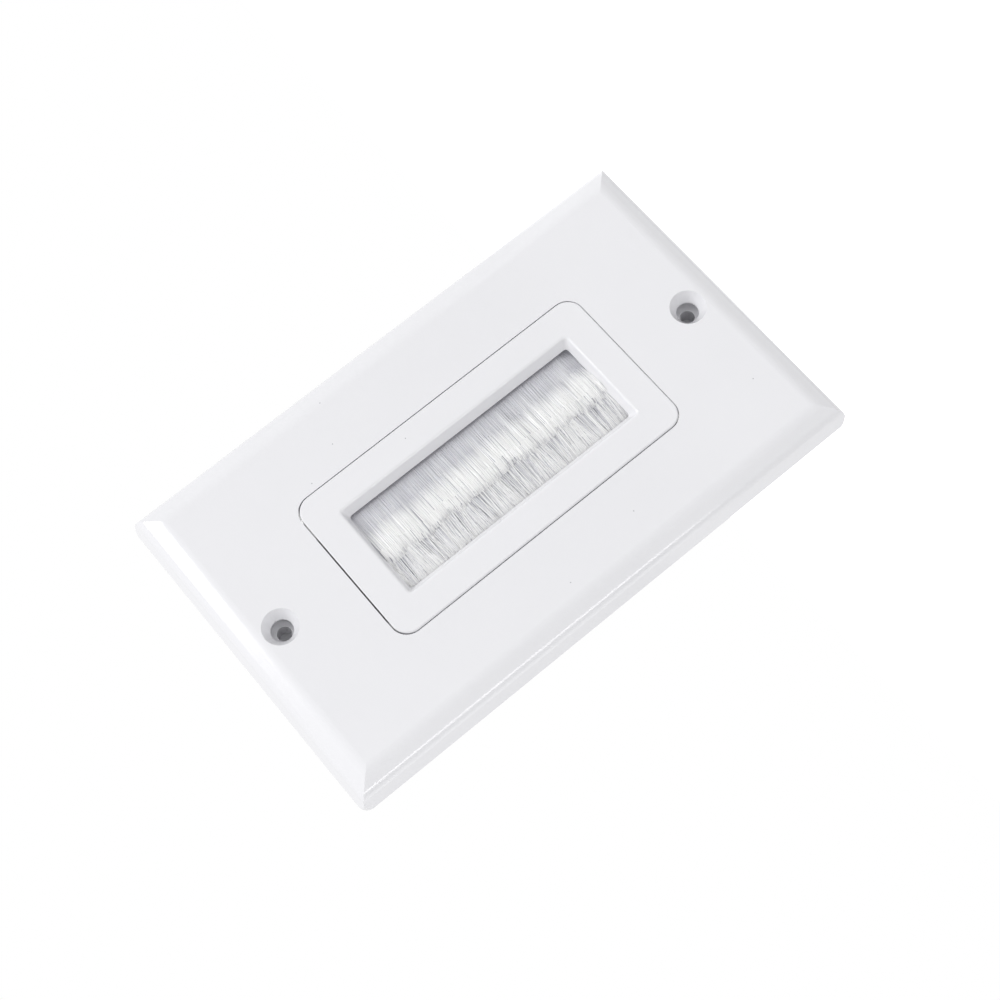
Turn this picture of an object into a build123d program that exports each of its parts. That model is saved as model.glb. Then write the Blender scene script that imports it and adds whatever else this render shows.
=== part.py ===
from build123d import *
import math
import os

# A one-gang brush wall plate: a moulded cover plate round a rectangular insert whose window is closed by two
# rows of bristles. Sizes are in millimetres. X runs across the plate, Z runs up it and the front faces -Y.
# The origin is the centre of the plate's rim plane, which lies on the wall.

# Cover plate
plate_length = 115.0
plate_width = 70.0
plate_depth = 6.3
skin = 2.0
shoulder_inset = 1.15
shoulder_y = -4.55
slope_inset = 4.5
shoulder_radius = 2.3
blend_radius = 4.0
corner_radius = 2.0
opening_length = 66.8
opening_width = 33.3
opening_radius = 3.5
collar_wall = 1.5
rib_thickness = 1.2
rib_back_y = -1.9
long_rib_x = 12.8
cross_rib_z = 19.0

# Plate screw holes, for oval-head screws
screw_spacing = 96.82
hole_radius = 2.15
countersink_radius = 3.5
countersink_angle = 62.0
pad_radius = 5.0
pad_height = 0.6

# Insert
seam = 0.2
seam_shift = 0.1
bezel_proud = 0.2
bezel_edge_bevel = 0.22
panel = 2.0
window_length = 52.0
window_width = 18.2
window_radius = 0.8
window_flare_z = 1.0
window_flare_x = 1.3
window_edge_radius = 0.7
body_wall = 1.6
body_back_y = 3.0
ear_reach = 53.0
ear_width = 21.0
ear_thickness = 1.8
ear_radius = 3.0
pilot_radius = 1.4
pilot_boss_radius = 2.8
pilot_floor = 1.0
box_screw_spacing = 83.34
slot_length = 8.0
slot_width = 4.0

# Brush strips, each a folded steel channel that grips bristles bent round a wire
channel_half_length = 27.0
channel_axis_y = -2.9
channel_mouth_x = 10.4
channel_back_x = 14.6
channel_half_height = 1.6
channel_sheet = 0.5
mouth_half_gap = 0.5
lip_run = 1.3
lip_offset = 0.8
lip_bend_radius = 0.5
back_bend_radius = 0.6
core_x = 13.0
core_radius = 0.65
root_radius = 1.05
root_sides = 8
neck_overlap = 0.5
bristle_half_length = 25.9
tuft_count = 10
tuft_root = 0.3
tuft_groove = 0.12
tuft_notch = 0.35
tuft_overlap = 0.1
tuft_crown_share = 0.36
upper_row_tip = (-3.7, -4.9)
upper_row_crest = (0.2, -5.2)
upper_row_thickness = 1.3
lower_row_tip = (0.6, -3.75)
lower_row_crest = (4.6, -3.85)
lower_row_thickness = 1.1

# Clamp bars and their self-tapping screws
clamp_inner_x = 10.0
clamp_outer_x = 14.75
clamp_half_length = 31.4
clamp_thickness = 1.6
clamp_corner = 1.0
clamp_screw_x = 12.4
clamp_screw_z = 29.3
post_half = 2.3
screw_radius = 0.95
screw_clearance = 0.2
screw_head_radius = 1.9
screw_head_height = 1.3
recess_length = 2.0
recess_width = 0.5
recess_depth = 0.7
screw_reach = 4.6
screw_hole_spare = 0.6

# Planes that follow from the sizes above, all given as Y
face_y = -plate_depth
inner_y = face_y + skin
bezel_y = face_y - bezel_proud
panel_y = bezel_y + panel
ear_front_y = -ear_thickness
clamp_front_y = channel_axis_y + channel_half_height
clamp_back_y = clamp_front_y + clamp_thickness
insert_length = opening_length - 2 * seam
insert_width = opening_width - 2 * seam


def slab(outline, back_y, front_y):
    """Prism of an outline drawn in X and Z, from the plane Y = back_y forward to Y = front_y."""
    return extrude(Plane.XZ.offset(-back_y) * outline, amount=back_y - front_y)


def bar(x0, x1, y0, y1, z0, z1):
    """Rectangular block between two corners."""
    block = Box(x1 - x0, y1 - y0, z1 - z0)
    return Pos((x0 + x1) / 2, (y0 + y1) / 2, (z0 + z1) / 2) * block


def pin(radius, x, z, back_y, front_y):
    """Round bar along Y."""
    return slab(Pos(x, z) * Circle(radius), back_y, front_y)


def edge_section(span, back_y):
    """Section of the plate over one span: leaning wall, rounded shoulder, slope and flat face."""
    lean = shoulder_inset / shoulder_y
    rim = -span / 2 + lean * back_y
    shoulder = -span / 2 + shoulder_inset
    slope = -span / 2 + slope_inset
    left = [(rim, back_y), (shoulder, shoulder_y), (slope, face_y)]
    right = [(-x, y) for x, y in reversed(left)]
    radii = [shoulder_radius, blend_radius, blend_radius, shoulder_radius]
    path = FilletPolyline(*left, *right, radius=radii)
    return make_face(path.edges() + [Line(right[-1], left[0])])


def mitred(across, along):
    """Solid whose sides carry two sections, mitred at the corners: the common part of two extrusions."""
    upright = extrude(across, amount=plate_length, both=True)
    lengthwise = Plane(origin=(0, 0, 0), x_dir=(0, 0, 1), z_dir=(-1, 0, 0)) * along
    return upright & extrude(lengthwise, amount=plate_width, both=True)


# Wall plate, an injection-moulded shell
def make_wall_plate():
    outer = mitred(edge_section(plate_width, 0), edge_section(plate_length, 0))
    outer &= slab(RectangleRounded(plate_width, plate_length, corner_radius), 0, face_y)
    deep = 2 * skin
    cavity = mitred(
        offset(edge_section(plate_width, deep), amount=-skin),
        offset(edge_section(plate_length, deep), amount=-skin),
    )
    opening = RectangleRounded(opening_width, opening_length, opening_radius)
    collar_outline = RectangleRounded(
        opening_width + 2 * collar_wall,
        opening_length + 2 * collar_wall,
        opening_radius + collar_wall,
    )
    stiffening = slab(collar_outline, ear_front_y, face_y)
    collar_end = opening_length / 2 + collar_wall / 2
    collar_side = opening_width / 2 + collar_wall / 2
    half_rib = rib_thickness / 2
    for side in (-1, 1):
        x = side * long_rib_x
        z = side * cross_rib_z
        for end in (-1, 1):
            z0, z1 = sorted((end * collar_end, end * plate_length / 2))
            stiffening += bar(x - half_rib, x + half_rib, face_y, rib_back_y, z0, z1)
            x0, x1 = sorted((end * collar_side, end * plate_width / 2))
            stiffening += bar(x0, x1, face_y, rib_back_y, z - half_rib, z + half_rib)
        stiffening += pin(pad_radius, 0, side * screw_spacing / 2, inner_y + pad_height, face_y)
    plate = outer - cavity
    plate += stiffening & outer
    plate -= slab(opening, 1, face_y - 1)
    cone_height = (countersink_radius - hole_radius) / math.tan(math.radians(countersink_angle / 2))
    for end in (-1, 1):
        z = end * screw_spacing / 2
        plate -= pin(hole_radius, 0, z, 1, face_y - 1)
        cone = Cone(hole_radius, countersink_radius, cone_height)
        plate -= Pos(0, face_y + cone_height / 2, z) * Rot(90, 0, 0) * cone
    return plate


# Insert frame: bezel with the flared window, body walls, mounting ears and the bosses for the clamp screws
def flare_section(span, flare):
    """Section of the window's hole over one span, run a little past both faces of the panel."""
    past = 0.5
    front = bezel_y - past
    back = panel_y + past
    front_half = span / 2 + flare * (panel_y - front) / panel
    back_half = span / 2 + flare * (panel_y - back) / panel
    corners = [(-front_half, front), (front_half, front), (back_half, back), (-back_half, back)]
    return make_face(Polyline(*corners, close=True))


def window_cut():
    """The window's hole, flared towards the front, with its four leaning corners rounded."""
    hole = mitred(flare_section(window_width, window_flare_x), flare_section(window_length, window_flare_z))
    ends = hole.faces().sort_by(Axis.Y)
    leaning_edges = hole.edges() - ends[0].edges() - ends[-1].edges()
    return fillet(leaning_edges, window_radius)


def make_insert_frame():
    radius = opening_radius - seam / 2
    outline = RectangleRounded(insert_width, insert_length, radius)
    inside = RectangleRounded(
        insert_width - 2 * body_wall, insert_length - 2 * body_wall, radius - body_wall
    )
    frame = slab(outline, body_back_y, bezel_y)
    frame -= slab(inside, body_back_y + 1, panel_y)
    ear_outline = RectangleRounded(ear_width, 2 * ear_reach, ear_radius)
    ears = slab(ear_outline, 0, ear_front_y) - slab(outline, 1, ear_front_y - 1)
    for end in (-1, 1):
        ears += pin(pilot_boss_radius, 0, end * screw_spacing / 2, body_back_y, ear_front_y)
        ears -= pin(pilot_radius, 0, end * screw_spacing / 2, body_back_y - pilot_floor, ear_front_y - 1)
        slot = Pos(0, end * box_screw_spacing / 2) * SlotOverall(slot_length, slot_width)
        ears -= slab(slot, 1, ear_front_y - 1)
    frame += ears
    front_edges = frame.faces().sort_by(Axis.Y)[0].outer_wire().edges()
    frame = chamfer(front_edges, bezel_edge_bevel)
    frame -= window_cut()
    window_edges = frame.faces().sort_by(Axis.Y)[0].inner_wires()[0].edges()
    frame = fillet(window_edges, window_edge_radius)
    for side in (-1, 1):
        for end in (-1, 1):
            x = side * clamp_screw_x
            z = end * clamp_screw_z
            frame += bar(x - post_half, x + post_half, panel_y, clamp_front_y, z - post_half, z + post_half)
            frame -= pin(screw_radius, x, z, clamp_front_y + 1, clamp_back_y - screw_reach - screw_hole_spare)
    return frame


# Brush strip, drawn for the +X side and mirrored for the other
def make_channel():
    wall = channel_half_height - channel_sheet / 2
    back_x = channel_back_x - channel_sheet / 2
    bend_x = channel_mouth_x + lip_run
    points = [
        (channel_mouth_x, channel_axis_y - lip_offset),
        (bend_x, channel_axis_y - wall),
        (back_x, channel_axis_y - wall),
        (back_x, channel_axis_y + wall),
        (bend_x, channel_axis_y + wall),
        (channel_mouth_x, channel_axis_y + lip_offset),
    ]
    radii = [lip_bend_radius, back_bend_radius, back_bend_radius, lip_bend_radius]
    fold = FilletPolyline(*points, radius=radii)
    section = trace(fold, line_width=channel_sheet)
    return extrude(section, amount=channel_half_length, both=True)


def make_core_wire():
    wire = Cylinder(core_radius, 2 * channel_half_length)
    return Pos(core_x, channel_axis_y, 0) * wire


def tuft_section(tip, crest, thickness, inset):
    """Side view of a tuft, drawn in by inset: it leaves the channel, rises to a crest and thins at its tip."""
    start_x = channel_mouth_x - tuft_overlap
    top_root = (start_x, channel_axis_y - tuft_root)
    under_root = (start_x, channel_axis_y + tuft_root)
    tip_under = (tip[0], tip[1] + thickness / 2)
    run = crest[0] - start_x
    rise = crest[1] - top_root[1]
    over = (start_x + 0.55 * run, top_root[1] + 0.68 * rise)
    fall = ((crest[0] + tip[0]) / 2, crest[1] + 0.3 * (tip[1] - crest[1]))
    outline = [
        ThreePointArc(top_root, over, crest),
        ThreePointArc(crest, fall, tip),
        Line(tip, tip_under),
        Line(tip_under, under_root),
        Line(under_root, top_root),
    ]
    return offset(make_face(outline), amount=-inset)


def wander(index, phase):
    """Uneven value between about -1 and 1 that drifts from tuft to tuft."""
    return 0.65 * math.sin(0.71 * index + phase) + 0.35 * math.sin(2.37 * index + 2 * phase)


def make_bristles(tip, crest, thickness, waver, phase):
    """Row of tufts joined side by side, their tips cut unevenly, on a root that is bent round the wire."""
    neck_end = channel_mouth_x - neck_overlap
    neck = Pos((core_x + neck_end) / 2, channel_axis_y) * Rectangle(core_x - neck_end, 2 * mouth_half_gap)
    section = Pos(core_x, channel_axis_y) * RegularPolygon(root_radius, root_sides) + neck
    section -= Pos(core_x, channel_axis_y) * Circle(core_radius)
    half = bristle_half_length
    pitch = 2 * half / tuft_count
    full = tuft_section(tip, crest, thickness, 0)
    valley = tuft_section(tip, crest, thickness, tuft_groove)
    tufts = extrude(valley, amount=half, both=True)
    edge = [(channel_mouth_x + 1, -half - 1)]
    for index in range(tuft_count):
        z = -half + pitch * (index + 0.5)
        tufts += extrude(Pos(0, 0, z) * full, amount=tuft_crown_share * pitch, both=True)
        reach = tip[0] + waver * (1 + wander(index, phase))
        edge.append((reach + tuft_notch, z - pitch / 2))
        edge.append((reach, z))
    edge[1] = (edge[1][0], -half - 1)
    edge.append((edge[-1][0] + tuft_notch, half + 1))
    edge.append((channel_mouth_x + 1, half + 1))
    tufts &= slab(make_face(Polyline(*edge, close=True)), 1, bezel_y)
    return extrude(section, amount=half, both=True) + tufts


# Clamp bar that presses a channel against the panel, and its screw
def make_clamp_bar():
    half = clamp_half_length
    clamp = bar(clamp_inner_x, clamp_outer_x, clamp_front_y, clamp_back_y, -half, half)
    corners = clamp.edges().filter_by(Axis.Y)
    clamp = chamfer(corners, clamp_corner)
    for end in (-1, 1):
        radius = screw_radius + screw_clearance
        clamp -= pin(radius, clamp_screw_x, end * clamp_screw_z, clamp_back_y + 1, clamp_front_y - 1)
    return clamp


def make_clamp_screw(side, end):
    """Blunt cheese-head screw with a cross recess, its head on the clamp bar and its end towards -Y."""
    tip_y = clamp_back_y - screw_reach
    top = clamp_back_y + screw_head_height
    outline = Polyline(
        (0, tip_y),
        (screw_radius, tip_y),
        (screw_radius, clamp_back_y),
        (screw_head_radius, clamp_back_y),
        (screw_head_radius, top),
        (0, top),
        close=True,
    )
    section = make_face(outline)
    screw = revolve(section, Axis.Y)
    for length, width in ((recess_length, recess_width), (recess_width, recess_length)):
        screw -= Pos(0, top, 0) * Box(length, 2 * recess_depth, width)
    return Pos(side * clamp_screw_x, 0, end * clamp_screw_z) * screw


def main():
    os.makedirs("parts", exist_ok=True)
    shift = Pos(0, 0, -seam_shift)
    nodes = {"wall_plate": make_wall_plate(), "insert_frame": shift * make_insert_frame()}
    channel = make_channel()
    core_wire = make_core_wire()
    clamp = make_clamp_bar()
    upper_row = make_bristles(upper_row_tip, upper_row_crest, upper_row_thickness, waver=0.5, phase=0.4)
    lower_row = make_bristles(lower_row_tip, lower_row_crest, lower_row_thickness, waver=0.6, phase=2.1)
    strips = {
        "right": (channel, core_wire, upper_row, clamp),
        "left": tuple(mirror(piece, about=Plane.YZ) for piece in (channel, core_wire, lower_row, clamp)),
    }
    for name, (channel, core_wire, bristles, clamp) in strips.items():
        nodes["brush_channel_" + name] = shift * channel
        nodes["core_wire_" + name] = shift * core_wire
        nodes["bristles_" + name] = shift * bristles
        nodes["clamp_bar_" + name] = shift * clamp
    for side, side_name in ((-1, "left"), (1, "right")):
        for end, end_name in ((-1, "lower"), (1, "upper")):
            nodes["clamp_screw_" + end_name + "_" + side_name] = shift * make_clamp_screw(side, end)
    for name, solid in nodes.items():
        solid.label = name
        export_step(solid, "parts/" + name + ".step")
        print(name, round(solid.volume, 1))


main()
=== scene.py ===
import bpy
import bmesh
import math
from mathutils import Matrix, Quaternion, Vector


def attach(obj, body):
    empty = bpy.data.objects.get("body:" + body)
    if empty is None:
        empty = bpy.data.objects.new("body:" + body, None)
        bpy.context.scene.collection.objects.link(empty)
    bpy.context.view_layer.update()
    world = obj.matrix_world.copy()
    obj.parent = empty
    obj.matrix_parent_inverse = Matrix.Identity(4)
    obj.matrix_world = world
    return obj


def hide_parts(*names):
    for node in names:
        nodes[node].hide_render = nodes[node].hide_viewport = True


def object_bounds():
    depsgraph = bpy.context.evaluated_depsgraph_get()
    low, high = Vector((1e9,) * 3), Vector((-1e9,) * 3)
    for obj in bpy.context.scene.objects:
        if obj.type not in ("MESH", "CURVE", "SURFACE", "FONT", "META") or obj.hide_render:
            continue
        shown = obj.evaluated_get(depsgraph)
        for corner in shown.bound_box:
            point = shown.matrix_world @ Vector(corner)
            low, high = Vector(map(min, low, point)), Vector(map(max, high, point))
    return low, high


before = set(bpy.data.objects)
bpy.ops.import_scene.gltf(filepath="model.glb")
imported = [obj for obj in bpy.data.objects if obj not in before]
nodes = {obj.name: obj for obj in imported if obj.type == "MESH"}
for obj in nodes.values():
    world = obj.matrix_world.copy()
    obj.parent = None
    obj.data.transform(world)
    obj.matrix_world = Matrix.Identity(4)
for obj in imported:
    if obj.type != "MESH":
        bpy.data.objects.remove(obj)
cad_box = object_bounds()

# Wall plate
# One white ABS moulding: a flat face that slopes off to a rounded shoulder and a leaning wall, with an
# opening and two countersunk holes. Its mould is polished, so the eye gets a clean gloss, faintly wavy where
# the plastic shrank.
mm = 0.001
abs_white = "#E8E8EB"
abs_ior = 1.53
abs_roughness = 0.13
tool_wave_mm = 9.0
tool_wave_height_mm = 0.012
fine_grain_mm = 0.35
fine_grain_height_mm = 0.0006
wave_darkening = 0.985
dust_colour = "#9A9AA0"
dust_cover = 0.8
dust_radius_mm = 0.11
dust_soft_edge = 0.4
plate_face_mm = -6.3
plate_specks_mm = [(-18.9, -47.7), (29.9, 16.3), (21.8, 19.6), (18.1, 27.3), (-24.3, -13.8), (-27.3, 3.7)]


def linear(hex_colour, share=1.0):
    """Linear RGBA of an sRGB hex colour, at a share of its brightness."""
    channels = [int(hex_colour[i:i + 2], 16) / 255 for i in (1, 3, 5)]
    straight = [c / 12.92 if c <= 0.04045 else ((c + 0.055) / 1.055) ** 2.4 for c in channels]
    return [c * share for c in straight] + [1.0]


def add_node(tree, kind, settings=None, inputs=None):
    """Adds a node, sets its properties, and links or sets its inputs, named or numbered."""
    made = tree.nodes.new(kind)
    for name, value in (settings or {}).items():
        setattr(made, name, value)
    for name, value in (inputs or {}).items():
        socket = made.inputs[name]
        if isinstance(value, bpy.types.NodeSocket):
            tree.links.new(value, socket)
        else:
            socket.default_value = value
    return made


def new_material(name):
    """An empty node material with its output, and the Principled shader that feeds it."""
    material = bpy.data.materials.new(name)
    material.use_nodes = True
    tree = material.node_tree
    tree.nodes.clear()
    shader = add_node(tree, "ShaderNodeBsdfPrincipled")
    add_node(tree, "ShaderNodeOutputMaterial", inputs={"Surface": shader.outputs["BSDF"]})
    return material, tree, shader


def moulded_plastic(name, colour, roughness, face_mm, specks_mm):
    """Glossy moulded plastic: a slow waviness from shrinkage, a very fine grain, and a few specks of dust."""
    material, tree, shader = new_material(name)
    place = add_node(tree, "ShaderNodeTexCoord").outputs["Object"]
    wave = add_node(tree, "ShaderNodeTexNoise", inputs={
        "Vector": place, "Scale": 1 / (tool_wave_mm * mm), "Detail": 1.0, "Roughness": 0.4})
    grain = add_node(tree, "ShaderNodeTexNoise", inputs={
        "Vector": place, "Scale": 1 / (fine_grain_mm * mm), "Detail": 2.0, "Roughness": 0.6})
    waviness = add_node(tree, "ShaderNodeBump", inputs={
        "Height": wave.outputs["Fac"], "Strength": 1.0, "Distance": tool_wave_height_mm * mm})
    texture = add_node(tree, "ShaderNodeBump", inputs={
        "Height": grain.outputs["Fac"], "Strength": 1.0, "Distance": fine_grain_height_mm * mm,
        "Normal": waviness.outputs["Normal"]})
    tint = add_node(tree, "ShaderNodeMix", {"data_type": "RGBA"}, {
        "Factor": wave.outputs["Fac"], "A": linear(colour), "B": linear(colour, wave_darkening)})
    surface = tint.outputs["Result"]
    for x, z in specks_mm:
        away = add_node(tree, "ShaderNodeVectorMath", {"operation": "DISTANCE"}, {
            0: place, 1: (x * mm, face_mm * mm, z * mm)})
        near = add_node(tree, "ShaderNodeMapRange", {"clamp": True}, {
            "Value": away.outputs["Value"], "From Min": dust_radius_mm * mm * (1 - dust_soft_edge),
            "From Max": dust_radius_mm * mm * (1 + dust_soft_edge), "To Min": dust_cover, "To Max": 0.0})
        speck = add_node(tree, "ShaderNodeMix", {"data_type": "RGBA"}, {
            "Factor": near.outputs["Result"], "A": surface, "B": linear(dust_colour)})
        surface = speck.outputs["Result"]
    tree.links.new(surface, shader.inputs["Base Color"])
    tree.links.new(texture.outputs["Normal"], shader.inputs["Normal"])
    shader.inputs["Roughness"].default_value = roughness
    shader.inputs["IOR"].default_value = abs_ior
    return material


def finish_node(name, material):
    """Gives a CAD node its material."""
    piece = nodes[name]
    piece.data.materials.clear()
    piece.data.materials.append(material)


gloss_abs = moulded_plastic("gloss_white_abs", abs_white, abs_roughness, plate_face_mm, plate_specks_mm)
finish_node("wall_plate", gloss_abs)

# Insert frame
# A second ABS moulding of nearly the same white: a flat bezel round the flared window, with walls, ears and
# bosses behind. It sits in the plate's opening and stands a fifth of a millimetre proud. The two bars that
# clamp the brushes behind the bezel are moulded from the same plastic.
insert_white = "#E9E9EC"
bezel_face_mm = -6.5
bezel_specks_mm = [(13.8, 8.7)]
gloss_insert = moulded_plastic(
    "gloss_white_abs_insert", insert_white, abs_roughness, bezel_face_mm, bezel_specks_mm)
finish_node("insert_frame", gloss_insert)
for side in ("left", "right"):
    finish_node("clamp_bar_" + side, gloss_insert)

# Brush channels and core wires
# Galvanised strip steel folded round the bristles' roots, and the drawn wire that they are bent round.
# Rolling and drawing leave fine streaks along the metal, so the eye gets a dull grey sheen with a grain.
steel_colour = "#C9CACC"
steel_roughness = 0.38
rolled_streak_mm = 0.12
streak_stretch = 40
streak_height_mm = 0.002
streak_darkening = 0.8
smoothest_share = 0.8
roughest_share = 1.25


def drawn_steel(name, colour, roughness, streak_mm):
    """Bare or plated steel with the fine streaks that rolling or drawing leaves along Z."""
    material, tree, shader = new_material(name)
    place = add_node(tree, "ShaderNodeTexCoord").outputs["Object"]
    across = 1 / (streak_mm * mm)
    stretched = add_node(tree, "ShaderNodeMapping", inputs={
        "Vector": place, "Scale": (across, across, across / streak_stretch)})
    streaks = add_node(tree, "ShaderNodeTexNoise", inputs={
        "Vector": stretched.outputs["Vector"], "Scale": 1.0, "Detail": 3.0, "Roughness": 0.6})
    tint = add_node(tree, "ShaderNodeMix", {"data_type": "RGBA"}, {
        "Factor": streaks.outputs["Fac"], "A": linear(colour), "B": linear(colour, streak_darkening)})
    rough = add_node(tree, "ShaderNodeMapRange", inputs={
        "Value": streaks.outputs["Fac"], "To Min": roughness * smoothest_share,
        "To Max": roughness * roughest_share})
    bump = add_node(tree, "ShaderNodeBump", inputs={
        "Height": streaks.outputs["Fac"], "Strength": 1.0, "Distance": streak_height_mm * mm})
    tree.links.new(tint.outputs["Result"], shader.inputs["Base Color"])
    tree.links.new(rough.outputs["Result"], shader.inputs["Roughness"])
    tree.links.new(bump.outputs["Normal"], shader.inputs["Normal"])
    shader.inputs["Metallic"].default_value = 1.0
    return material


strip_steel = drawn_steel("rolled_strip_steel", steel_colour, steel_roughness, rolled_streak_mm)
for side in ("left", "right"):
    finish_node("brush_channel_" + side, strip_steel)
    finish_node("core_wire_" + side, strip_steel)

# Clamp screws
# Small steel screws with a cross recess, turned down onto the clamp bars. They are zinc plated, so the eye
# gets a smoother and darker sheen than the strip's.
zinc_colour = "#BFC0C3"
zinc_roughness = 0.3
turned_streak_mm = 0.2
zinc_plated = drawn_steel("zinc_plated_steel", zinc_colour, zinc_roughness, turned_streak_mm)
for side in ("left", "right"):
    for end in ("lower", "upper"):
        finish_node("clamp_screw_" + end + "_" + side, zinc_plated)

# Bristle rows
# Clear nylon filaments, bent double round the core wire and gripped by the channel. The row on the +X side
# lies over the other: it springs up from its strip, crests near the middle and droops at its tips. Both have
# fallen into loose tufts.
body = "root"
# Painted light on the nylon: the root colour is painted shade, where the filaments are packed and the window
# wall shades the row. The crown colour is a painted highlight. The bright and dim colours paint glints on
# single filaments and the shade in the gaps between them.
nylon_crown_painted_highlight = "#FFFFFF"
nylon_root_painted_shade = "#D0D0D7"
nylon_painted_glint = "#FFFFFF"
nylon_painted_gap_shade = "#9C9CA8"
nylon_roughness = 0.3
nylon_ior = 1.53
bright_rarity = 4.0
dim_rarity = 7.0
filaments = 5000
filament_radius = 0.07
filament_bends = 7
tube_sides = 3
row_centre_z = -0.1
row_half_length = 26.6
window_half = 25.95

# Powers and shares that shape a row, matched to the photograph
tip_crowding = 1.6
top_sheet = 3.0
middle_layer = 0.5
outlier_rarity = 8.0
spring_power = 8.0
droop_power = 14.0
droop_depth = 1.1
tip_shade_power = 30.0
pale_edge_waver = 0.07
pale_edge_scatter = 0.09
swing_along = 1.7
swing_by_layer = 1.6
sag_from = 0.86
sag_fade = 1.5

# Where in the noise each drift lies, and its seed offset
drift_gain = 3.2
drift_seed_step = 7.3
tip_drift = (0.0, 10)
rise_drift = (5.0, 20)
pale_drift = (9.0, 40)
swing_drift_seed = 30


def nylon(name):
    """Clear nylon filament with painted light: painted shade at the root, where the filaments are packed and
    the window wall shades them, and a painted highlight at the crown. Some filaments are painted as bright
    glints and some are painted dark as the shade in the gaps between filaments, so that the eye gets a silky
    streaked sheet."""
    material, tree, shader = new_material(name)
    pale = add_node(tree, "ShaderNodeAttribute", {"attribute_name": "pale"}).outputs["Fac"]
    shade = add_node(tree, "ShaderNodeAttribute", {"attribute_name": "shade"}).outputs["Fac"]
    streak = add_node(tree, "ShaderNodeAttribute", {"attribute_name": "streak"}).outputs["Fac"]
    along = add_node(tree, "ShaderNodeMix", {"data_type": "RGBA"}, {
        "Factor": pale, "A": linear(nylon_root_painted_shade), "B": linear(nylon_crown_painted_highlight)})
    # Painted glints on a few bright filaments and painted gap shade on a few dim ones, scaled by streak
    lit = add_node(tree, "ShaderNodeMath", {"operation": "POWER"}, {0: shade, 1: bright_rarity}).outputs[0]
    lit = add_node(tree, "ShaderNodeMath", {"operation": "MULTIPLY"}, {0: lit, 1: streak}).outputs[0]
    bright = add_node(tree, "ShaderNodeMix", {"data_type": "RGBA"}, {
        "Factor": lit, "A": along.outputs["Result"], "B": linear(nylon_painted_glint)})
    unlit = add_node(tree, "ShaderNodeMath", {"operation": "SUBTRACT"}, {0: 1.0, 1: shade}).outputs[0]
    unlit = add_node(tree, "ShaderNodeMath", {"operation": "POWER"}, {0: unlit, 1: dim_rarity}).outputs[0]
    unlit = add_node(tree, "ShaderNodeMath", {"operation": "MULTIPLY"}, {0: unlit, 1: streak}).outputs[0]
    tint = add_node(tree, "ShaderNodeMix", {"data_type": "RGBA"}, {
        "Factor": unlit, "A": bright.outputs["Result"], "B": linear(nylon_painted_gap_shade)})
    tree.links.new(tint.outputs["Result"], shader.inputs["Base Color"])
    shader.inputs["Roughness"].default_value = nylon_roughness
    shader.inputs["IOR"].default_value = nylon_ior
    return material


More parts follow.
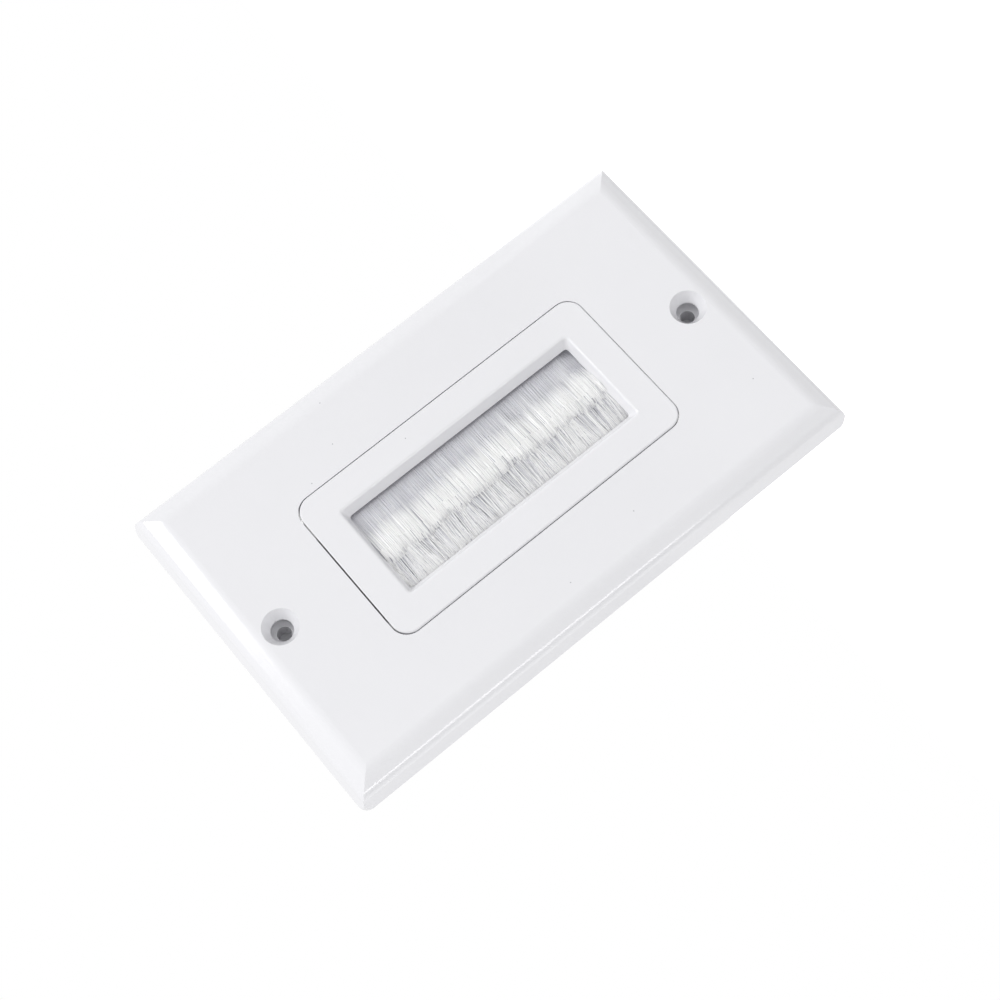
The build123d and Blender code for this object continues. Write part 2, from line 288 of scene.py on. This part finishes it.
def bristle_tree():
    """Geometry nodes for one row: points along the strip, a bent filament on each, and a tube along that.
    Sizes are in millimetres, and t runs from 0 at a filament's root to 1 at its tip."""
    tree = bpy.data.node_groups.new("bristle_row", "GeometryNodeTree")
    face = tree.interface
    face.new_socket("Geometry", in_out="OUTPUT", socket_type="NodeSocketGeometry")
    for name in ("Filaments", "Bends", "Seed"):
        face.new_socket(name, in_out="INPUT", socket_type="NodeSocketInt")
    for name in (
        "Side", "Half Length", "End Drop", "Limit", "Radius", "Thicker", "Lift",
        "Root X", "Root Y", "Root Depth", "Tip X", "Tip Waver", "Ragged", "Tip Depth",
        "Spring", "Rise", "Rise Waver", "Climb From", "Climb To", "Droop", "Sag",
        "Tuft", "Fan", "Stray", "Pale From", "Pale To", "Streaky", "Tip Painted Shade",
    ):
        face.new_socket(name, in_out="INPUT", socket_type="NodeSocketFloat")
    face.new_socket("Material", in_out="INPUT", socket_type="NodeSocketMaterial")
    given = add_node(tree, "NodeGroupInput").outputs
    math_node = "ShaderNodeMath"
    smooth = {"interpolation_type": "SMOOTHSTEP"}
    low_end = add_node(tree, math_node, {"operation": "MULTIPLY"}, {
        0: given["Half Length"], 1: -1.0}).outputs[0]

    def drift(across, along, seed_offset):
        """Smooth value from about -1 to 1 that changes with two numbers."""
        seed = add_node(tree, math_node, {"operation": "ADD"}, {0: given["Seed"], 1: seed_offset}).outputs[0]
        depth = add_node(tree, math_node, {"operation": "MULTIPLY"}, {0: seed, 1: drift_seed_step}).outputs[0]
        at = add_node(tree, "ShaderNodeCombineXYZ", inputs={"X": across, "Y": along, "Z": depth}).outputs[0]
        noise = add_node(tree, "ShaderNodeTexNoise", inputs={
            "Vector": at, "Scale": 1.0, "Detail": 1.0, "Roughness": 0.5}).outputs["Fac"]
        return add_node(tree, math_node, {"operation": "MULTIPLY_ADD"}, {
            0: noise, 1: drift_gain, 2: -drift_gain / 2}).outputs[0]

    # One point for each filament, with its random draws, and a straight line of bends laid on it
    draws = (
        ("root_z", low_end, given["Half Length"]), ("layer", 0.0, 1.0), ("chance", 0.0, 1.0),
        ("shade", 0.0, 1.0), ("slant", -1.0, 1.0),
    )
    row = add_node(tree, "GeometryNodePoints", inputs={"Count": given["Filaments"]}).outputs[0]
    drawn = {}
    for offset, (name, least, most) in enumerate(draws):
        seed = add_node(tree, math_node, {"operation": "ADD"}, {0: given["Seed"], 1: offset}).outputs[0]
        value = add_node(tree, "FunctionNodeRandomValue", {"data_type": "FLOAT"}, {
            2: least, 3: most, "Seed": seed}).outputs[1]
        row = add_node(tree, "GeometryNodeStoreNamedAttribute", {"data_type": "FLOAT", "domain": "POINT"}, {
            "Geometry": row, "Name": name, "Value": value}).outputs["Geometry"]
        drawn[name] = add_node(tree, "GeometryNodeInputNamedAttribute", {"data_type": "FLOAT"}, {
            "Name": name}).outputs["Attribute"]
    line = add_node(tree, "GeometryNodeCurvePrimitiveLine", inputs={"End": (1.0, 0.0, 0.0)}).outputs[0]
    line = add_node(tree, "GeometryNodeResampleCurve", inputs={
        "Curve": line, "Count": given["Bends"]}).outputs[0]
    laid = add_node(tree, "GeometryNodeInstanceOnPoints", inputs={
        "Points": row, "Instance": line}).outputs[0]
    laid = add_node(tree, "GeometryNodeRealizeInstances", inputs={"Geometry": laid}).outputs[0]

    # t crowds the bends towards the tip, and most filaments lie in the top sheet, where layer is near 0
    even = add_node(tree, "GeometryNodeSplineParameter").outputs["Factor"]
    left = add_node(tree, math_node, {"operation": "SUBTRACT"}, {0: 1.0, 1: even}).outputs[0]
    left = add_node(tree, math_node, {"operation": "POWER"}, {0: left, 1: tip_crowding}).outputs[0]
    t = add_node(tree, math_node, {"operation": "SUBTRACT"}, {0: 1.0, 1: left}).outputs[0]
    layer = add_node(tree, math_node, {"operation": "POWER"}, {0: drawn["layer"], 1: top_sheet}).outputs[0]
    outlier = add_node(tree, math_node, {"operation": "POWER"}, {
        0: drawn["shade"], 1: outlier_rarity}).outputs[0]
    tuft = add_node(tree, math_node, {"operation": "DIVIDE"}, {
        0: drawn["root_z"], 1: given["Tuft"]}).outputs[0]

    # The crown is painted pale as a highlight between Pale From and Pale To, with a wavering edge, and
    # painted shade darkens its tips again
    pale = add_node(tree, math_node, {"operation": "MULTIPLY_ADD"}, {
        0: drift(tuft, *pale_drift), 1: pale_edge_waver, 2: t}).outputs[0]
    pale = add_node(tree, math_node, {"operation": "MULTIPLY_ADD"}, {
        0: drawn["slant"], 1: pale_edge_scatter, 2: pale}).outputs[0]
    pale = add_node(tree, "ShaderNodeMapRange", smooth, {
        "Value": pale, "From Min": given["Pale From"], "From Max": given["Pale To"]}).outputs["Result"]
    at_tip = add_node(tree, math_node, {"operation": "POWER"}, {0: t, 1: tip_shade_power}).outputs[0]
    shaded = add_node(tree, math_node, {"operation": "MULTIPLY_ADD"}, {
        0: at_tip, 1: given["Tip Painted Shade"], 2: 1.0}).outputs[0]
    shaded = add_node(tree, math_node, {"operation": "MULTIPLY"}, {0: pale, 1: shaded}).outputs[0]
    streak = add_node(tree, math_node, {"operation": "MAXIMUM"}, {0: pale, 1: given["Streaky"]}).outputs[0]
    for name, value in (("pale", shaded), ("streak", streak)):
        laid = add_node(tree, "GeometryNodeStoreNamedAttribute", {"data_type": "FLOAT", "domain": "POINT"}, {
            "Geometry": laid, "Name": name, "Value": value}).outputs["Geometry"]

    # Across the window: from the root to a ragged, wavering line of tips
    tip_x = add_node(tree, math_node, {"operation": "MULTIPLY_ADD"}, {
        0: drift(tuft, *tip_drift), 1: given["Tip Waver"], 2: given["Tip X"]}).outputs[0]
    tip_x = add_node(tree, math_node, {"operation": "MULTIPLY_ADD"}, {
        0: drawn["chance"], 1: given["Ragged"], 2: tip_x}).outputs[0]
    reach = add_node(tree, math_node, {"operation": "SUBTRACT"}, {0: tip_x, 1: given["Root X"]}).outputs[0]
    x = add_node(tree, math_node, {"operation": "MULTIPLY_ADD"}, {
        0: reach, 1: t, 2: given["Root X"]}).outputs[0]
    x = add_node(tree, math_node, {"operation": "MULTIPLY"}, {0: x, 1: given["Side"]}).outputs[0]

    # Out of the window: the root's depth in the channel, the spring out of it and the climb to the crest
    from_middle = add_node(tree, math_node, {"operation": "ABSOLUTE"}, {0: drawn["root_z"]}).outputs[0]
    drop_from = add_node(tree, math_node, {"operation": "SUBTRACT"}, {
        0: given["Half Length"], 1: given["End Drop"]}).outputs[0]
    near_end = add_node(tree, "ShaderNodeMapRange", smooth, {
        "Value": from_middle, "From Min": drop_from, "From Max": given["Half Length"]}).outputs["Result"]
    inside = add_node(tree, math_node, {"operation": "SUBTRACT"}, {0: 1.0, 1: near_end}).outputs[0]
    rise = add_node(tree, math_node, {"operation": "MULTIPLY_ADD"}, {
        0: drift(tuft, *rise_drift), 1: given["Rise Waver"], 2: given["Rise"]}).outputs[0]
    rise = add_node(tree, math_node, {"operation": "MULTIPLY"}, {0: rise, 1: inside}).outputs[0]
    climbed = add_node(tree, "ShaderNodeMapRange", smooth, {
        "Value": t, "From Min": given["Climb From"], "From Max": given["Climb To"]}).outputs["Result"]
    climb = add_node(tree, math_node, {"operation": "MULTIPLY"}, {0: rise, 1: climbed}).outputs[0]
    sprung = add_node(tree, math_node, {"operation": "SUBTRACT"}, {0: 1.0, 1: t}).outputs[0]
    sprung = add_node(tree, math_node, {"operation": "POWER"}, {0: sprung, 1: spring_power}).outputs[0]
    sprung = add_node(tree, math_node, {"operation": "SUBTRACT"}, {0: 1.0, 1: sprung}).outputs[0]
    spring = add_node(tree, math_node, {"operation": "MULTIPLY"}, {0: given["Spring"], 1: sprung}).outputs[0]
    y = add_node(tree, math_node, {"operation": "SUBTRACT"}, {0: layer, 1: middle_layer}).outputs[0]
    y = add_node(tree, math_node, {"operation": "MULTIPLY_ADD"}, {
        0: y, 1: given["Root Depth"], 2: given["Root Y"]}).outputs[0]
    y = add_node(tree, math_node, {"operation": "SUBTRACT"}, {0: y, 1: spring}).outputs[0]
    y = add_node(tree, math_node, {"operation": "SUBTRACT"}, {0: y, 1: climb}).outputs[0]

    # Then the deeper layers fall away, the tips droop, a few filaments stand off, and the row's low end sags
    below = add_node(tree, math_node, {"operation": "MULTIPLY"}, {0: layer, 1: t}).outputs[0]
    y = add_node(tree, math_node, {"operation": "MULTIPLY_ADD"}, {
        0: below, 1: given["Tip Depth"], 2: y}).outputs[0]
    late = add_node(tree, math_node, {"operation": "POWER"}, {0: t, 1: droop_power}).outputs[0]
    on_top = add_node(tree, math_node, {"operation": "SUBTRACT"}, {0: droop_depth, 1: layer}).outputs[0]
    fall = add_node(tree, math_node, {"operation": "MULTIPLY"}, {0: late, 1: on_top}).outputs[0]
    y = add_node(tree, math_node, {"operation": "MULTIPLY_ADD"}, {
        0: fall, 1: given["Droop"], 2: y}).outputs[0]
    lift = add_node(tree, math_node, {"operation": "MULTIPLY"}, {0: outlier, 1: given["Lift"]}).outputs[0]
    lift = add_node(tree, math_node, {"operation": "MULTIPLY"}, {0: lift, 1: t}).outputs[0]
    y = add_node(tree, math_node, {"operation": "SUBTRACT"}, {0: y, 1: lift}).outputs[0]
    closing = add_node(tree, math_node, {"operation": "MULTIPLY_ADD"}, {
        0: t, 1: -sag_fade, 2: 1.0}).outputs[0]
    closing = add_node(tree, math_node, {"operation": "MAXIMUM"}, {0: closing, 1: 0.0}).outputs[0]
    sag_start = add_node(tree, math_node, {"operation": "MULTIPLY"}, {
        0: given["Half Length"], 1: -sag_from}).outputs[0]
    sag = add_node(tree, "ShaderNodeMapRange", smooth, {
        "Value": drawn["root_z"], "From Min": sag_start, "From Max": low_end}).outputs["Result"]
    sag = add_node(tree, math_node, {"operation": "MULTIPLY"}, {0: sag, 1: given["Sag"]}).outputs[0]
    y = add_node(tree, math_node, {"operation": "MULTIPLY_ADD"}, {0: sag, 1: closing, 2: y}).outputs[0]

    # Along the row: tufts fan out and strays cross them, and nothing passes the window's ends
    swing_z = add_node(tree, math_node, {"operation": "MULTIPLY"}, {0: tuft, 1: swing_along}).outputs[0]
    swing_layer = add_node(tree, math_node, {"operation": "MULTIPLY"}, {
        0: layer, 1: swing_by_layer}).outputs[0]
    swing = add_node(tree, math_node, {"operation": "MULTIPLY"}, {
        0: drift(swing_z, swing_layer, swing_drift_seed), 1: given["Fan"]}).outputs[0]
    slant = add_node(tree, math_node, {"operation": "ABSOLUTE"}, {0: drawn["slant"]}).outputs[0]
    slant = add_node(tree, math_node, {"operation": "MULTIPLY"}, {0: drawn["slant"], 1: slant}).outputs[0]
    swing = add_node(tree, math_node, {"operation": "MULTIPLY_ADD"}, {
        0: slant, 1: given["Stray"], 2: swing}).outputs[0]
    limit = add_node(tree, math_node, {"operation": "MAXIMUM"}, {
        0: from_middle, 1: given["Limit"]}).outputs[0]
    low_limit = add_node(tree, math_node, {"operation": "MULTIPLY"}, {0: limit, 1: -1.0}).outputs[0]
    z = add_node(tree, math_node, {"operation": "MULTIPLY_ADD"}, {
        0: swing, 1: t, 2: drawn["root_z"]}).outputs[0]
    z = add_node(tree, math_node, {"operation": "MAXIMUM"}, {0: z, 1: low_limit}).outputs[0]
    z = add_node(tree, math_node, {"operation": "MINIMUM"}, {0: z, 1: limit}).outputs[0]
    z = add_node(tree, math_node, {"operation": "ADD"}, {0: z, 1: row_centre_z}).outputs[0]

    # Each bent line becomes a tube, and the row goes from millimetres to metres. Curve to Mesh takes the
    # thickness from its own Scale input.
    at = add_node(tree, "ShaderNodeCombineXYZ", inputs={"X": x, "Y": y, "Z": z}).outputs["Vector"]
    laid = add_node(tree, "GeometryNodeSetPosition", inputs={"Geometry": laid, "Position": at}).outputs[0]
    thick = add_node(tree, math_node, {"operation": "MULTIPLY_ADD"}, {
        0: outlier, 1: given["Thicker"], 2: 1.0}).outputs[0]
    thick = add_node(tree, math_node, {"operation": "MULTIPLY"}, {0: given["Radius"], 1: thick}).outputs[0]
    ring = add_node(tree, "GeometryNodeCurvePrimitiveCircle", inputs={
        "Resolution": tube_sides, "Radius": 1.0}).outputs[0]
    tube = add_node(tree, "GeometryNodeCurveToMesh", inputs={
        "Curve": laid, "Profile Curve": ring, "Scale": thick, "Fill Caps": True}).outputs[0]
    tube = add_node(tree, "GeometryNodeTransform", inputs={
        "Geometry": tube, "Scale": (mm, mm, mm)}).outputs[0]
    tube = add_node(tree, "GeometryNodeSetShadeSmooth", inputs={"Geometry": tube}).outputs[0]
    tube = add_node(tree, "GeometryNodeRealizeInstances", inputs={"Geometry": tube}).outputs[0]
    tube = add_node(tree, "GeometryNodeSetMaterial", inputs={
        "Geometry": tube, "Material": given["Material"]}).outputs[0]
    add_node(tree, "NodeGroupOutput", inputs={"Geometry": tube})
    return tree


def grown(name, tree, values):
    """A plain mesh object made by a tree, with its inputs set by identifier before it is first evaluated."""
    seed_mesh = bpy.data.meshes.new(name + "_seed")
    carrier = bpy.data.objects.new(name + "_carrier", seed_mesh)
    bpy.context.scene.collection.objects.link(carrier)
    modifier = carrier.modifiers.new("grow", "NODES")
    modifier.node_group = tree
    identifiers = {i.name: i.identifier for i in tree.interface.items_tree if i.in_out == "INPUT"}
    for key, value in values.items():
        modifier[identifiers[key]] = value
    carrier.update_tag()
    depsgraph = bpy.context.evaluated_depsgraph_get()
    mesh = bpy.data.meshes.new_from_object(carrier.evaluated_get(depsgraph), depsgraph=depsgraph)
    mesh.name = name
    bpy.data.objects.remove(carrier)
    made = bpy.data.objects.new(name, mesh)
    bpy.context.scene.collection.objects.link(made)
    return made


clear_nylon = nylon("clear_nylon_filament")
rows = bristle_tree()
shared = {
    "Filaments": filaments, "Bends": filament_bends, "Radius": filament_radius, "Thicker": 0.5,
    "Half Length": row_half_length, "End Drop": 0.6, "Limit": window_half, "Root X": 11.6, "Root Y": -2.9,
    "Root Depth": 0.6, "Spring": 1.0, "Rise Waver": 0.1, "Tuft": 5.0, "Material": clear_nylon,
}
upper = grown("upper_bristles", rows, shared | {
    "Seed": 3, "Side": 1.0, "Tip X": -2.9, "Tip Waver": 1.1, "Ragged": 0.5, "Tip Depth": 0.7,
    "Rise": 1.1, "Climb From": 0.4, "Climb To": 0.98, "Droop": 0.95, "Sag": 1.2, "Lift": 0.12,
    "Fan": 0.5, "Stray": 0.6, "Pale From": 0.42, "Pale To": 0.72, "Streaky": 0.1, "Tip Painted Shade": -0.4,
})
# The lower row's painted light runs the other way: lighter at the root, with painted shade towards its tips
# under the upper row's crest, and painted glints and gap shade all along.
lower = grown("lower_bristles", rows, shared | {
    "Seed": 8, "Side": -1.0, "Tip X": 0.0, "Tip Waver": 0.4, "Ragged": 1.6, "Tip Depth": 1.3,
    "Rise": 0.0, "Climb From": 0.1, "Climb To": 0.9, "Droop": 0.2, "Sag": 0.8, "Lift": 0.35,
    "Fan": 2.0, "Stray": 1.3, "Pale From": 1.0, "Pale To": 0.0, "Streaky": 1.0, "Tip Painted Shade": 0.0,
})
for piece, node in ((upper, "bristles_right"), (lower, "bristles_left")):
    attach(piece, body)
    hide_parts(node)

# Floor, backdrop and lamps
# A pale floor well below the plate, which hangs by its wall mount, in an even white studio. The camera and
# glossy surfaces see plain white, and the plate gets a plain level of light with soft lamps round its front.
floor_drop = 0.09
floor_half = 0.4
floor_colour = "#C8C8C8"
floor_roughness = 0.9
floor_glow = 0.8
front_strength = 0.68
back_strength = 0.85
front_from = -0.4
back_from = 0.3
low_corner = cad_box[0]
floor_mesh = bpy.data.meshes.new("floor")
shape = bmesh.new()
bmesh.ops.create_grid(shape, x_segments=1, y_segments=1, size=floor_half)
shape.to_mesh(floor_mesh)
shape.free()
floor = bpy.data.objects.new("floor", floor_mesh)
bpy.context.scene.collection.objects.link(floor)
floor_mesh.transform(Matrix.Translation((0, 0, low_corner.z - floor_drop)))
floor_material, floor_tree, floor_shader = new_material("pale_floor")
rays = add_node(floor_tree, "ShaderNodeLightPath").outputs
shown = add_node(floor_tree, "ShaderNodeMath", {"operation": "MAXIMUM"}, {
    0: rays["Is Camera Ray"], 1: rays["Is Glossy Ray"]}).outputs[0]
glow = add_node(floor_tree, "ShaderNodeMath", {"operation": "MULTIPLY"}, {0: shown, 1: floor_glow}).outputs[0]
floor_tree.links.new(glow, floor_shader.inputs["Emission Strength"])
floor_shader.inputs["Emission Color"].default_value = (1, 1, 1, 1)
floor_shader.inputs["Base Color"].default_value = linear(floor_colour)
floor_shader.inputs["Roughness"].default_value = floor_roughness
floor_mesh.materials.append(floor_material)

world = bpy.data.worlds.new("studio")
bpy.context.scene.world = world
world.use_nodes = True
sky = world.node_tree
sky.nodes.clear()
direction = add_node(sky, "ShaderNodeTexCoord").outputs["Generated"]
split = add_node(sky, "ShaderNodeSeparateXYZ", inputs={"Vector": direction})
ambient = add_node(sky, "ShaderNodeMapRange", {"interpolation_type": "SMOOTHSTEP"}, {
    "Value": split.outputs["Y"], "From Min": front_from, "From Max": back_from, "To Min": front_strength,
    "To Max": back_strength}).outputs["Result"]
rays = add_node(sky, "ShaderNodeLightPath").outputs
shown = add_node(sky, "ShaderNodeMath", {"operation": "MAXIMUM"}, {
    0: rays["Is Camera Ray"], 1: rays["Is Glossy Ray"]}).outputs[0]
shown = add_node(sky, "ShaderNodeMath", {"operation": "MAXIMUM"}, {
    0: shown, 1: rays["Is Transmission Ray"]}).outputs[0]
strength = add_node(sky, "ShaderNodeMix", {"data_type": "FLOAT"}, {"Factor": shown, "A": ambient, "B": 1.0})
background = add_node(sky, "ShaderNodeBackground", inputs={
    "Color": (1, 1, 1, 1), "Strength": strength.outputs["Result"]})
add_node(sky, "ShaderNodeOutputWorld", inputs={"Surface": background.outputs["Background"]})


def softbox(name, towards, distance, width, height, level):
    """Area lamp aimed at the plate. Level is the brightness it adds to a white surface that faces it."""
    lamp = bpy.data.lights.new(name, "AREA")
    lamp.shape = "RECTANGLE"
    lamp.size = width
    lamp.size_y = height
    lamp.energy = level * (math.pi * distance) ** 2
    place = Vector(towards).normalized() * distance
    holder = bpy.data.objects.new(name, lamp)
    holder.location = place
    holder.rotation_mode = "QUATERNION"
    holder.rotation_quaternion = (-place).to_track_quat("-Z", "Y")
    bpy.context.scene.collection.objects.link(holder)


softbox("key_softbox", (0.56, -0.6, 0.57), distance=2.0, width=1.0, height=1.0, level=0.52)
softbox("strip_low_left_side", (-0.79, -0.58, -0.2), distance=1.2, width=0.3, height=0.6, level=0.19)
softbox("table_bounce_left", (-0.93, 0.35, -0.1), distance=1.2, width=0.8, height=0.8, level=0.14)

# Camera
# It looks down on the face as the photograph does, over the edge at -X and the upper end, rolled so that the
# plate's upper end points to the lower left of the picture.
camera_place_mm = (-118.5, -344.7, 74.7)
camera_aim_mm = (-6.9, -6.3, 3.2)
camera_roll_deg = -128.3
lens_mm = 72.0
sensor_mm = 36.0
nearest_shown = 0.01
farthest_shown = 20.0
lens = bpy.data.cameras.new("camera")
lens.sensor_width = sensor_mm
lens.lens = lens_mm
lens.clip_start = nearest_shown
lens.clip_end = farthest_shown
camera = bpy.data.objects.new("camera", lens)
place = Vector(camera_place_mm) * mm
aim = Vector(camera_aim_mm) * mm
camera.location = place
camera.rotation_mode = "QUATERNION"
camera.rotation_quaternion = (aim - place).to_track_quat("-Z", "Y") @ Quaternion(
    (0, 0, 1), math.radians(camera_roll_deg))
bpy.context.scene.collection.objects.link(camera)
bpy.context.scene.camera = camera
bpy.context.scene.view_settings.view_transform = "Standard"
